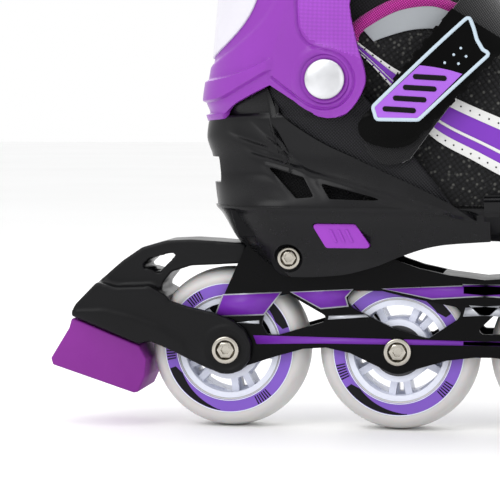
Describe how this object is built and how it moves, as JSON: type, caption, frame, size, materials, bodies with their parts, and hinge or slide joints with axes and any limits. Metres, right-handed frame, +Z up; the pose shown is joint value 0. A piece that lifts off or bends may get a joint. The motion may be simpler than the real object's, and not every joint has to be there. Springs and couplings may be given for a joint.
{
  "type": "inline skate",
  "caption": "Right inline skate: boot with a hinged cuff, ratchet buckle, instep strap and sliding toe section, on a channel frame with wheels on ball bearings and a heel brake.",
  "frame": {"origin": "on the ground, in the mid-plane of the wheels, midway between the first and the last axle", "axes": "+X towards the toe, +Y towards the inner side of the foot, +Z up"},
  "size_m": [0.3354, 0.1058, 0.285],
  "materials": {
    "frame_paint": "satin black with a light sheen",
    "bolt_steel": "nickel plated",
    "bearing_steel": "ground steel with dark shields",
    "rivet_cap": "polished, slightly hazy",
    "shell_plastic": "glossy moulded",
    "textured_plastic": "fine moulded texture",
    "bracket_plastic": "satin moulded",
    "brake_rubber": "moulded, slightly chalky",
    "cuff_plastic": "satin gloss",
    "button_plastic": "satin",
    "spine_plastic": "satin",
    "liner_fabric": "padded mesh",
    "upper_fabric": "open mesh over foam",
    "strap_webbing": "woven tape",
    "strap_rubber": "glossy moulded",
    "eyelet_paint": "painted",
    "tyre_urethane": "milky translucent urethane",
    "hub_plastic": "glossy moulded"
  },
  "bodies": {
    "chassis": {"frame": "frame_paint", "axle_bolts": "bolt_steel", "axle_screws": "bolt_steel", "wheel_spacers": "bearing_steel", "bearing_inner_races": "bearing_steel", "heel_mount_bolt": "bolt_steel", "heel_mount_nut": "bolt_steel", "toe_mount_bolt": "bolt_steel", "toe_mount_nut": "bolt_steel", "rear_shell": "shell_plastic", "ankle_panels": "textured_plastic", "heel_liner": "liner_fabric", "instep_upper": "upper_fabric", "insole": "liner_fabric", "pivot_posts": "bearing_steel", "pivot_caps": "rivet_cap", "brake_bracket": "bracket_plastic", "brake_pad": "brake_rubber", "brake_screw": "bolt_steel", "brake_nut": "bolt_steel", "instep_strap": "strap_webbing", "strap_pad": "strap_rubber", "strap_ring": "textured_plastic", "strap_rivets": "bolt_steel", "tongue": "upper_fabric", "button_spring": "bolt_steel"},
    "toe": {"front_shell": "shell_plastic", "size_rack": "textured_plastic", "vamp": "upper_fabric", "lace_eyelets": "eyelet_paint", "toe_bumper": "textured_plastic"},
    "button": {"size_button": "button_plastic"},
    "cuff": {"cuff_shell": "cuff_plastic", "spine_panel": "spine_plastic", "cuff_liner": "liner_fabric", "buckle_base": "textured_plastic", "buckle_rivets": "bolt_steel", "ladder_strap": "textured_plastic", "ladder_rivet": "bolt_steel", "lever_pin": "bolt_steel"},
    "lever": {"buckle_lever": "cuff_plastic"},
    "wheel_1": {"tyre_1": "tyre_urethane", "hub_1": "hub_plastic", "bearings_1": "bearing_steel"},
    "wheel_2": {"tyre_2": "tyre_urethane", "hub_2": "hub_plastic", "bearings_2": "bearing_steel"},
    "wheel_3": {"tyre_3": "tyre_urethane", "hub_3": "hub_plastic", "bearings_3": "bearing_steel"},
    "wheel_4": {"tyre_4": "tyre_urethane", "hub_4": "hub_plastic", "bearings_4": "bearing_steel"}
  },
  "joints": [
    {"name": "cuff_flex", "type": "hinge", "parent": "chassis", "child": "cuff", "pos_m": [-0.0652, 0, 0.151], "axis": [0, 1, 0], "range_deg": [0, 15]},
    {"name": "size_slide", "type": "slide", "parent": "chassis", "child": "toe", "axis": [1, 0, 0], "range_m": [0, 0.02]},
    {"name": "size_button_press", "type": "slide", "parent": "chassis", "child": "button", "axis": [0, 1, 0], "range_m": [0, 0.004], "stiffness_N_per_m": 500, "springref_m": -0.003, "deforming": ["button_spring"]},
    {"name": "buckle_lever_open", "type": "hinge", "parent": "cuff", "child": "lever", "pos_m": [-0.04, -0.0464, 0.236], "axis": [0, 0, 1], "range_deg": [0, 80]},
    {"name": "wheel_1_spin", "type": "hinge", "parent": "chassis", "child": "wheel_1", "pos_m": [-0.111, 0, 0.035], "axis": [0, 1, 0], "continuous": true},
    {"name": "wheel_2_spin", "type": "hinge", "parent": "chassis", "child": "wheel_2", "pos_m": [-0.037, 0, 0.035], "axis": [0, 1, 0], "continuous": true},
    {"name": "wheel_3_spin", "type": "hinge", "parent": "chassis", "child": "wheel_3", "pos_m": [0.037, 0, 0.035], "axis": [0, 1, 0], "continuous": true},
    {"name": "wheel_4_spin", "type": "hinge", "parent": "chassis", "child": "wheel_4", "pos_m": [0.111, 0, 0.035], "axis": [0, 1, 0], "continuous": true}
  ]
}
